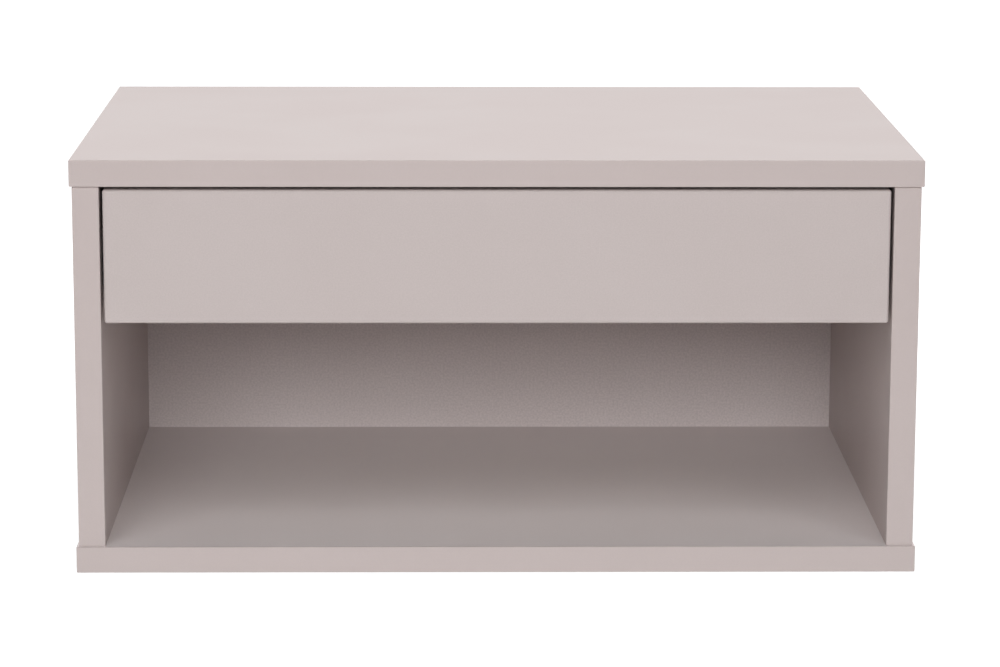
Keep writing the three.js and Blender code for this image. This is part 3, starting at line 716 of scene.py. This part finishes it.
class NIGHTSTAND_OT_stage(bpy.types.Operator):
    """Sets the camera, the lamps, the floor and the white surroundings"""

    bl_idname = "nightstand.stage"
    bl_label = "Stage"

    sensor_width = 36.0  # in millimetres
    farthest_view = 50.0  # in metres

    # All soft boxes face this point.
    lamp_target = Vector((0.0, -0.2, -0.1))

    # Each soft box: its name, its azimuth and elevation in degrees, its distance, width and
    # height in metres, the setting that holds its power, and whether surfaces mirror it.
    soft_boxes = (
        ("Front light", -4, 18.5, 2.5, 1.5, 0.6, "front_power", False),
        ("High left light", -32, 41, 2.9, 1.0, 1.3, "high_power", True),
        ("High right light", 32, 41, 2.9, 1.0, 1.3, "high_power", True),
        ("Left light", -112, 15, 2.9, 1.5, 0.6, "side_power", False),
        ("Right light", 112, 15, 2.9, 1.5, 0.6, "side_power", False),
        ("Top light", 180, 80, 2.9, 1.5, 0.8, "top_power", False),
    )

    def execute(self, context):
        settings = context.scene.nightstand_stage
        self.add_camera(context.scene, settings)
        for soft_box in self.soft_boxes:
            self.add_lamp(context.scene, settings, soft_box)
        self.add_floor(settings)
        self.set_world(context.scene, settings)
        context.scene.view_settings.view_transform = "Standard"
        return {"FINISHED"}

    def add_camera(self, scene, settings):
        data = bpy.data.cameras.new("Camera")
        data.sensor_width = self.sensor_width
        data.lens = settings.lens
        data.clip_end = self.farthest_view
        camera = bpy.data.objects.new("Camera", data)
        scene.collection.objects.link(camera)
        turn = Matrix.Rotation(-settings.camera_turn, 4, "Z")
        tilt = Matrix.Rotation(math.radians(90) - settings.camera_tilt, 4, "X")
        roll = Matrix.Rotation(settings.camera_roll, 4, "Z")
        camera.matrix_world = Matrix.Translation(settings.camera_place) @ turn @ tilt @ roll
        scene.camera = camera

    def add_lamp(self, scene, settings, soft_box):
        name, azimuth, elevation, distance, width, height, power, mirrored = soft_box
        around = Matrix.Rotation(math.radians(azimuth), 3, "Z")
        above = Matrix.Rotation(-math.radians(elevation), 3, "X")
        away = around @ above @ -Y_AXIS
        data = bpy.data.lights.new(name, "AREA")
        data.shape = "RECTANGLE"
        data.size = width
        data.size_y = height
        data.energy = getattr(settings, power)
        lamp = bpy.data.objects.new(name, data)
        lamp.location = self.lamp_target + distance * away
        lamp.rotation_euler = (-away).to_track_quat("-Z", "Y").to_euler()
        lamp.visible_camera = False
        lamp.visible_glossy = mirrored
        scene.collection.objects.link(lamp)

    def add_floor(self, settings):
        """A paper floor that fades into the white surroundings with its distance."""
        bm = bmesh.new()
        bmesh.ops.create_grid(bm, x_segments=1, y_segments=1, size=settings.floor_size / 2)
        level = cad_bounds[0][2] - settings.floor_drop
        bmesh.ops.translate(bm, vec=(0.0, 0.0, level), verts=bm.verts)
        paper = Finish("Studio floor", roughness=0.9)
        paper.shader.inputs["Base Color"].default_value = STUDIO_PAPER
        paper.shader.inputs["Emission Color"].default_value = WHITE
        reach = paper.nodes.new("ShaderNodeVectorMath")
        reach.operation = "LENGTH"
        paper.links.new(paper.place, reach.inputs[0])
        white = paper.between(reach.outputs["Value"], low=0.3, high=1.0, low_at=1.2, high_at=2.6)
        glow = paper.nodes.new("ShaderNodeMath")
        glow.operation = "MULTIPLY"
        paper.links.new(white, glow.inputs[0])
        paper.links.new(seen(paper.nodes, paper.links), glow.inputs[1])
        paper.set("Emission Strength", glow.outputs["Value"])
        add_object("Floor", bm, [paper])

    def set_world(self, scene, settings):
        """White where it is seen, and a faint light from all round."""
        world = bpy.data.worlds.new("Studio")
        world.use_nodes = True
        nodes = world.node_tree.nodes
        links = world.node_tree.links
        light = nodes["Background"]
        light.inputs["Color"].default_value = WHITE
        light.inputs["Strength"].default_value = settings.ambient
        backdrop = nodes.new("ShaderNodeBackground")
        backdrop.inputs["Color"].default_value = WHITE
        mix = nodes.new("ShaderNodeMixShader")
        links.new(seen(nodes, links), mix.inputs["Fac"])
        links.new(light.outputs["Background"], mix.inputs[1])
        links.new(backdrop.outputs["Background"], mix.inputs[2])
        links.new(mix.outputs["Shader"], nodes["World Output"].inputs["Surface"])
        scene.world = world


class NIGHTSTAND_OT_boards(bpy.types.Operator):
    """Makes the lacquered top, bottom and sides, rounds their edges and drills them"""

    bl_idname = "nightstand.boards"
    bl_label = "Cabinet boards"

    def execute(self, context):
        settings = context.scene.nightstand_boards
        outside = lacquer(
            "Cabinet lacquer",
            settings.lacquer_colour,
            roughness=0.40,
            grain=1.3 * MILLIMETRE,
            speckle=0.008,
            relief=0.008 * MILLIMETRE,
        )
        # Painted light: a lighter copy of the outside lacquer for the face that things stand on under
        # the drawer.
        self.shelf_finish_with_painted_light = lacquer(
            "Shelf lacquer",
            settings.shelf_colour_with_painted_light,
            roughness=0.62,
            grain=1.3 * MILLIMETRE,
            speckle=0.008,
            relief=0.008 * MILLIMETRE,
            specular=0.3,
        )
        self.raw = raw_board(settings.raw_colour)
        self.finishes = [outside, self.shelf_finish_with_painted_light, self.raw]
        self.add_level_board("top_panel", "cam_bolt", "dowel_top", settings)
        self.add_level_board("bottom_panel", "connector_screw", "dowel_bottom", settings)
        for side in SIDES:
            self.add_side(side, settings)
        return {"FINISHED"}

    def add_level_board(self, node, screw, dowel, settings):
        """The top or bottom panel, rounded all round and drilled for its screws and dowels."""
        bm = block(*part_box(node))
        round_edges(bm, bm.edges[:], settings.arris_radius, settings.arris_steps)
        if node == "bottom_panel":
            self.paint_light_on_shelf(bm)
        fasteners = [(f"{screw}_{side}_{end}", Z_AXIS, None) for side in SIDES for end in ENDS]
        fasteners += [(f"{dowel}_{side}", Z_AXIS, None) for side in SIDES]
        self.finish_board(bm, node, fasteners, settings)

    def add_side(self, side, settings):
        """A side panel, rounded in front and at its seam with the top, and drilled."""
        node = f"side_panel_{side}"
        low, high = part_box(node)
        low.z -= settings.seat_gap
        bm = block(low, high)
        front = [
            edge for edge in bm.edges
            if on_plane(edge, Y_AXIS, low.y) and not on_plane(edge, Z_AXIS, edge.verts[0].co.z)
        ]
        round_edges(bm, front, settings.arris_radius, settings.arris_steps)
        seam = [edge for edge in bm.edges if on_plane(edge, Z_AXIS, high.z)]
        round_edges(bm, seam, settings.seam_radius, settings.seam_steps)
        fasteners = [(f"dowel_back_{side}_{level}", X_AXIS, None) for level in LEVELS]
        fasteners += [(f"dowel_{level}_{side}", Z_AXIS, None) for level in ("top", "bottom")]
        for end in ENDS:
            fasteners += [
                (f"cam_{side}_{end}", X_AXIS, None),
                (f"cam_bolt_{side}_{end}", Z_AXIS, None),
                (f"connector_screw_{side}_{end}", Z_AXIS, None),
                (f"cabinet_runner_screw_{side}_{end}", X_AXIS, None),
            ]
        self.finish_board(bm, node, fasteners, settings)

    def paint_light_on_shelf(self, bm):
        """Paints light on the face that things stand on: it gets a lighter copy of the lacquer."""
        for face in bm.faces:
            # Painted light: the faces that point up get the lighter lacquer.
            if face.normal.z > LEVEL_NORMAL:
                face.material_index = self.finishes.index(self.shelf_finish_with_painted_light)

    def finish_board(self, bm, node, fasteners, settings):
        """Shades and drills a board and puts it in the place of its CAD node."""
        shade(bm, BOARD_CREASE)
        board = add_object(f"{node}_board", bm, self.finishes)
        drill(board, fasteners, settings.bore_gap, self.raw)
        stand_in(board, node)


class NIGHTSTAND_OT_back_panel(bpy.types.Operator):
    """Finishes the back panel and brings its edges up to the boards round it"""

    bl_idname = "nightstand.back_panel"
    bl_label = "Back panel"

    def execute(self, context):
        settings = context.scene.nightstand_boards
        low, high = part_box("back_panel")
        # Painted light: a lighter copy of the lacquer for the face seen under the drawer; its coarser
        # speckle and relief are the board's own.
        back_finish_with_painted_light = lacquer(
            "Back lacquer",
            settings.back_colour_with_painted_light,
            roughness=0.62,
            grain=1.6 * MILLIMETRE,
            speckle=0.07,
            relief=0.05 * MILLIMETRE,
            specular=0.3,
        )
        rear = lacquer(
            "Rear lacquer",
            settings.lacquer_colour,
            roughness=0.62,
            grain=1.6 * MILLIMETRE,
            speckle=0.02,
            relief=0.03 * MILLIMETRE,
        )
        raw = raw_board(settings.raw_colour)
        finishes = [back_finish_with_painted_light, rear, raw]
        bm = merged("back_panel")
        for face in bm.faces:
            # Painted light: the front face gets the lighter lacquer.
            if on_plane(face, Y_AXIS, low.y):
                face.material_index = finishes.index(back_finish_with_painted_light)
            elif on_plane(face, Y_AXIS, high.y):
                face.material_index = finishes.index(rear)
            else:
                face.material_index = finishes.index(raw)
        for axis in (X_AXIS, Z_AXIS):
            for corner, outwards in ((low, -axis), (high, axis)):
                rim = [vert for vert in bm.verts if abs((vert.co - corner).dot(axis)) < WELD]
                bmesh.ops.translate(bm, vec=settings.seat_gap * outwards, verts=rim)
        shade(bm, BACK_CREASE)
        stand_in(add_object("back_panel_board", bm, finishes), "back_panel")
        return {"FINISHED"}


class NIGHTSTAND_OT_drawer_front(bpy.types.Operator):
    """Makes the drawer front with its rounded face and finger bevel"""

    bl_idname = "nightstand.drawer_front"
    bl_label = "Drawer front"

    def execute(self, context):
        settings = context.scene.nightstand_drawer
        boards = context.scene.nightstand_boards
        finish = lacquer(
            "Front lacquer",
            settings.front_colour,
            roughness=0.46,
            grain=1.1 * MILLIMETRE,
            speckle=0.03,
            relief=0.03 * MILLIMETRE,
        )
        raw = raw_board(boards.raw_colour)
        low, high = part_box("drawer_front")
        bm = block(low, high)
        rounded = [edge for edge in bm.edges if not on_plane(edge, Y_AXIS, high.y)]
        round_edges(bm, rounded, settings.corner_radius, settings.corner_steps)
        self.cut_finger_bevel(bm, low, high, settings)
        shade(bm, FRONT_CREASE)
        front = add_object("drawer_front_board", bm, [finish, raw])
        screws = [
            (f"front_screw_{side}_{level}", Y_AXIS, settings.screw_radius)
            for side in SIDES for level in LEVELS
        ]
        drill(front, screws, boards.bore_gap, raw)
        stand_in(front, "drawer_front")
        return {"FINISHED"}

    def cut_finger_bevel(self, bm, low, high, settings):
        """Slices off the rear of the lower edge and closes the cut."""
        start = Vector((0.0, high.y - settings.bevel_depth, low.z))
        along = Vector((0.0, settings.bevel_depth, settings.bevel_height))
        outwards = along.cross(X_AXIS).normalized()
        if outwards.y < 0:
            outwards.negate()
        sliced = bmesh.ops.bisect_plane(
            bm,
            geom=bm.verts[:] + bm.edges[:] + bm.faces[:],
            plane_co=start,
            plane_no=outwards,
            clear_outer=True,
        )
        rim = [item for item in sliced["geom_cut"] if isinstance(item, bmesh.types.BMEdge)]
        bmesh.ops.contextual_create(bm, geom=rim)


class NIGHTSTAND_OT_drawer_box(bpy.types.Operator):
    """Finishes the five boards of the drawer box"""

    bl_idname = "nightstand.drawer_box"
    bl_label = "Drawer box"

    def execute(self, context):
        foil = box_foil(context.scene.nightstand_drawer.box_colour)
        for place in ("left", "right", "front", "back", "bottom"):
            finished_copy(f"drawer_box_{place}", "foiled", foil)
        return {"FINISHED"}


class NIGHTSTAND_OT_runners(bpy.types.Operator):
    """Finishes the rolled members of both runners"""

    bl_idname = "nightstand.runners"
    bl_label = "Runners"

    def execute(self, context):
        steel = rolled_steel(context.scene.nightstand_hardware.zinc_colour)
        for side in SIDES:
            for member in ("cabinet", "middle", "drawer"):
                finished_copy(f"runner_{member}_{side}", "rolled", steel, STRIP_CREASE)
        return {"FINISHED"}


class NIGHTSTAND_OT_ball_cages(bpy.types.Operator):
    """Finishes the ball cages, with polished balls in pressed strip"""

    bl_idname = "nightstand.ball_cages"
    bl_label = "Ball cages"

    def execute(self, context):
        hardware = context.scene.nightstand_hardware
        strip = rolled_steel(hardware.zinc_colour)
        balls = bright_steel(
            "Ball steel", hardware.ball_colour, roughness=0.14, grain=3 * MILLIMETRE
        )
        for side in SIDES:
            for row in ("outer", "inner"):
                self.add_cage(f"ball_cage_{row}_{side}", strip, balls)
        return {"FINISHED"}

    def add_cage(self, node, strip, balls):
        """A cage whose faces that lean along the runner belong to its balls."""
        finishes = [strip, balls]
        least, most = BALL_NORMALS
        bm = merged(node)
        shade(bm, CAGE_CREASE)
        for face in bm.faces:
            finish = balls if least < abs(face.normal.y) < most else strip
            face.material_index = finishes.index(finish)
        stand_in(add_object(f"{node}_caged_balls", bm, finishes), node)


class NIGHTSTAND_OT_fittings(bpy.types.Operator):
    """Finishes the cams, bolts, connector screws and dowels that hold the cabinet together"""

    bl_idname = "nightstand.fittings"
    bl_label = "Cabinet fittings"

    def execute(self, context):
        hardware = context.scene.nightstand_hardware
        casting = die_casting(hardware.casting_colour)
        steel = bright_steel(
            "Fitting steel", hardware.zinc_colour, roughness=0.3, grain=1.5 * MILLIMETRE
        )
        upright = beech("Upright beech", hardware.beech_colour, along=2)
        level = beech("Level beech", hardware.beech_colour, along=0)
        for side in SIDES:
            for end in ENDS:
                finished_copy(f"cam_{side}_{end}", "cast", casting)
                finished_copy(f"cam_bolt_{side}_{end}", "turned", steel)
                finished_copy(f"connector_screw_{side}_{end}", "turned", steel)
            for joint in ("top", "bottom"):
                finished_copy(f"dowel_{joint}_{side}", "turned", upright)
            for place in LEVELS:
                finished_copy(f"dowel_back_{side}_{place}", "turned", level)
        return {"FINISHED"}


class NIGHTSTAND_OT_hangers(bpy.types.Operator):
    """Finishes the keyhole hanger plates"""

    bl_idname = "nightstand.hangers"
    bl_label = "Hanger plates"

    def execute(self, context):
        hardware = context.scene.nightstand_hardware
        steel = bright_steel(
            "Hanger steel", hardware.zinc_colour, roughness=0.36, grain=2.5 * MILLIMETRE
        )
        for side in SIDES:
            finished_copy(f"hanger_plate_{side}", "pressed", steel)
        return {"FINISHED"}


class NIGHTSTAND_OT_screws(bpy.types.Operator):
    """Finishes the screws of the hangers, the runners and the drawer front"""

    bl_idname = "nightstand.screws"
    bl_label = "Screws"

    def execute(self, context):
        hardware = context.scene.nightstand_hardware
        steel = bright_steel(
            "Screw steel", hardware.screw_colour, roughness=0.26, grain=1.0 * MILLIMETRE
        )
        for side in SIDES:
            for level in LEVELS:
                finished_copy(f"hanger_screw_{side}_{level}", "plated", steel)
                finished_copy(f"front_screw_{side}_{level}", "plated", steel)
            for end in ENDS:
                finished_copy(f"cabinet_runner_screw_{side}_{end}", "plated", steel)
                finished_copy(f"drawer_runner_screw_{side}_{end}", "plated", steel)
        return {"FINISHED"}


SETTINGS = (
    ("nightstand_boards", BoardSettings, "Boards"),
    ("nightstand_drawer", DrawerSettings, "Drawer"),
    ("nightstand_hardware", HardwareSettings, "Hardware"),
    ("nightstand_stage", StageSettings, "Stage"),
)

OPERATORS = (
    NIGHTSTAND_OT_stage,
    NIGHTSTAND_OT_boards,
    NIGHTSTAND_OT_back_panel,
    NIGHTSTAND_OT_drawer_front,
    NIGHTSTAND_OT_drawer_box,
    NIGHTSTAND_OT_runners,
    NIGHTSTAND_OT_ball_cages,
    NIGHTSTAND_OT_fittings,
    NIGHTSTAND_OT_hangers,
    NIGHTSTAND_OT_screws,
)


class NIGHTSTAND_PT_sidebar(bpy.types.Panel):
    """The nightstand's sizes, colours and steps"""

    bl_idname = "NIGHTSTAND_PT_sidebar"
    bl_label = "Floating Nightstand"
    bl_space_type = "VIEW_3D"
    bl_region_type = "UI"
    bl_category = "Nightstand"

    def draw(self, context):
        for attribute, group, title in SETTINGS:
            box = self.layout.box()
            box.label(text=title)
            for name in group.__annotations__:
                box.prop(getattr(context.scene, attribute), name)
        for operator in OPERATORS:
            self.layout.operator(operator.bl_idname)


def register():
    for attribute, group, title in SETTINGS:
        bpy.utils.register_class(group)
        setattr(bpy.types.Scene, attribute, PointerProperty(type=group, name=title))
    for operator in OPERATORS:
        bpy.utils.register_class(operator)
    bpy.utils.register_class(NIGHTSTAND_PT_sidebar)


def unregister():
    bpy.utils.unregister_class(NIGHTSTAND_PT_sidebar)
    for operator in reversed(OPERATORS):
        bpy.utils.unregister_class(operator)
    for attribute, group, title in reversed(SETTINGS):
        delattr(bpy.types.Scene, attribute)
        bpy.utils.unregister_class(group)


def main():
    """Makes every piece and the stage."""
    register()
    bpy.ops.nightstand.stage()
    bpy.ops.nightstand.boards()
    bpy.ops.nightstand.back_panel()
    bpy.ops.nightstand.drawer_front()
    bpy.ops.nightstand.drawer_box()
    bpy.ops.nightstand.runners()
    bpy.ops.nightstand.ball_cages()
    bpy.ops.nightstand.fittings()
    bpy.ops.nightstand.hangers()
    bpy.ops.nightstand.screws()


if __name__ == "__main__":
    main()
